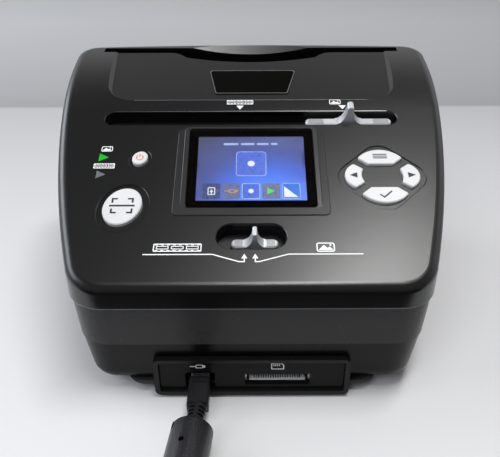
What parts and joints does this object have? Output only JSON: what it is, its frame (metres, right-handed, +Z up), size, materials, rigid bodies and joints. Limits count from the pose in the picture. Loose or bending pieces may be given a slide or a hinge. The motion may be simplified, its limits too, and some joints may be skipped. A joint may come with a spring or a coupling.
{
  "type": "film and photo scanner",
  "caption": "Wedge-shaped desktop film and photo scanner with a sloping panel, colour screen, buttons, two sliders, a photo slot, a film path, a card slot and a USB lead.",
  "frame": {"origin": "on the floor under the middle of the housing's box, at the feet's lower faces", "axes": "+X to the user's right, +Y towards the back, +Z up"},
  "size_m": [0.2327, 0.2836, 0.1156],
  "materials": {
    "case_black": "fine-textured satin moulding",
    "case_grey": "smooth dark moulding",
    "base_black": "plain moulding",
    "bezel_black": "polished moulding",
    "smoked_window": "clear window with a dark border",
    "display": "lit display",
    "foot_rubber": "soft rubber",
    "screw_steel": "zinc plated",
    "rod_steel": "ground rod",
    "circuit_board": "solder mask",
    "switch_metal": "stamped tops",
    "button_white": "fine satin",
    "light_green": "lit light pipe",
    "light_grey": "unlit light pipe",
    "slider_silver": "silver satin",
    "diffuser_white": "opal sheet",
    "lens_black": "black anodised",
    "lens_clear": "polished lens",
    "socket_metal": "plated shell",
    "contact_gold": "gold flash",
    "lead_black": "soft PVC",
    "ferrite_black": "moulded sleeve",
    "tie_black": "hook-and-loop band"
  },
  "bodies": {
    "housing": {"top_cover": "case_black", "lower_case": "case_grey", "io_panel": "case_grey", "base_pan": "base_black", "lcd_holder": "base_black", "light_track": "base_black", "focus_track": "base_black", "rod_brackets": "base_black", "lens_mount": "base_black", "film_gate": "base_black", "photo_guide_left": "base_black", "photo_guide_right": "base_black", "lcd_bezel": "bezel_black", "lcd_window": "smoked_window", "lcd_panel": "display", "feet": "foot_rubber", "case_screws": "screw_steel", "guide_rod": "rod_steel", "main_board": "circuit_board", "io_board": "circuit_board", "sensor_board": "circuit_board", "tact_switches": "switch_metal", "photo_light_pipe": "light_green", "film_light_pipe": "light_grey", "photo_lamp_left": "diffuser_white", "photo_lamp_right": "diffuser_white", "lens_barrel": "lens_black", "lens_glass": "lens_clear", "usb_socket": "socket_metal", "card_socket": "socket_metal", "usb_plug_shell": "socket_metal", "host_plug_shell": "socket_metal", "card_contacts": "contact_gold", "usb_plug": "lead_black", "cable_run": "lead_black", "cable_coil": "lead_black", "cable_tail": "lead_black", "host_plug": "lead_black", "ferrite": "ferrite_black", "coil_tie": "tie_black"},
    "film_light": {"light_slider": "slider_silver", "backlight_carriage": "base_black", "backlight_diffuser": "diffuser_white", "backlight_board": "circuit_board"},
    "focus_control": {"focus_slider": "slider_silver", "focus_fork": "base_black"},
    "focus_ring": {"focus_ring": "lens_black"},
    "scan_button": {"scan_button": "button_white"},
    "power_button": {"power_button": "button_white"},
    "mode_button": {"mode_button": "button_white"},
    "enter_button": {"enter_button": "button_white"},
    "left_button": {"left_button": "button_white"},
    "right_button": {"right_button": "button_white"}
  },
  "joints": [
    {"name": "film_light_slide", "type": "slide", "parent": "housing", "child": "film_light", "axis": [1, 0, 0], "range_m": [-0.0507, 0]},
    {"name": "focus_slide", "type": "slide", "parent": "housing", "child": "focus_control", "axis": [1, 0, 0], "range_m": [-0.00365, 0.00085]},
    {"name": "focus_turn", "type": "hinge", "parent": "housing", "child": "focus_ring", "pos_m": [0, -0.029, 0.048], "axis": [0, 1, 0], "range_deg": [-16.7, 3.9]},
    {"name": "scan_press", "type": "slide", "parent": "housing", "child": "scan_button", "axis": [0, 0.3843, -0.9232], "range_m": [0, 0.0008], "stiffness_N_per_m": 700},
    {"name": "power_press", "type": "slide", "parent": "housing", "child": "power_button", "axis": [0, 0.3843, -0.9232], "range_m": [0, 0.0008], "stiffness_N_per_m": 700},
    {"name": "mode_press", "type": "slide", "parent": "housing", "child": "mode_button", "axis": [0, 0.3843, -0.9232], "range_m": [0, 0.0008], "stiffness_N_per_m": 700},
    {"name": "enter_press", "type": "slide", "parent": "housing", "child": "enter_button", "axis": [0, 0.3843, -0.9232], "range_m": [0, 0.0008], "stiffness_N_per_m": 700},
    {"name": "left_press", "type": "slide", "parent": "housing", "child": "left_button", "axis": [0, 0.3843, -0.9232], "range_m": [0, 0.0008], "stiffness_N_per_m": 700},
    {"name": "right_press", "type": "slide", "parent": "housing", "child": "right_button", "axis": [0, 0.3843, -0.9232], "range_m": [0, 0.0008], "stiffness_N_per_m": 700}
  ],
  "couplings": [
    {"joint": "focus_turn", "follows": "focus_slide", "rad_per_m": 79.78}
  ]
}
